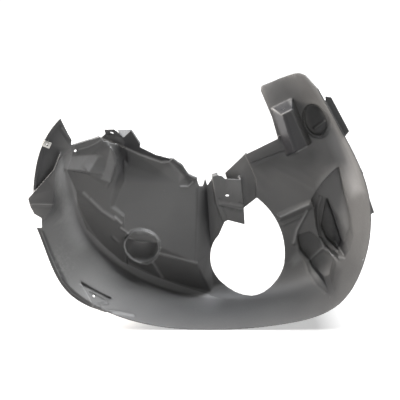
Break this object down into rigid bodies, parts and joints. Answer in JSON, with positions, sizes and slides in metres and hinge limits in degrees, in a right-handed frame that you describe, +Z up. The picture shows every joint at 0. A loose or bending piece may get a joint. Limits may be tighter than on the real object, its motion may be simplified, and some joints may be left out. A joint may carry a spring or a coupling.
{
  "type": "wheel arch liner",
  "caption": "Moulded plastic liner that curves round a car's front wheel, with a strut opening, raised panel, pockets, screw boss, edge flanges and a clip nut.",
  "frame": {"origin": "middle of the liner's box, at its underside, as it lies on its crown", "axes": "+X along the car, +Y inboard, away from the wheel side's open edge, +Z up"},
  "size_m": [0.814, 0.2484, 0.609],
  "materials": {
    "moulded_plastic": "dark grey moulded polypropylene, fine grain with a soft sheen",
    "spring_steel": "zinc plated spring steel"
  },
  "bodies": {
    "root": {"liner": "moulded_plastic", "edge_clip": "spring_steel"}
  },
  "joints": []
}
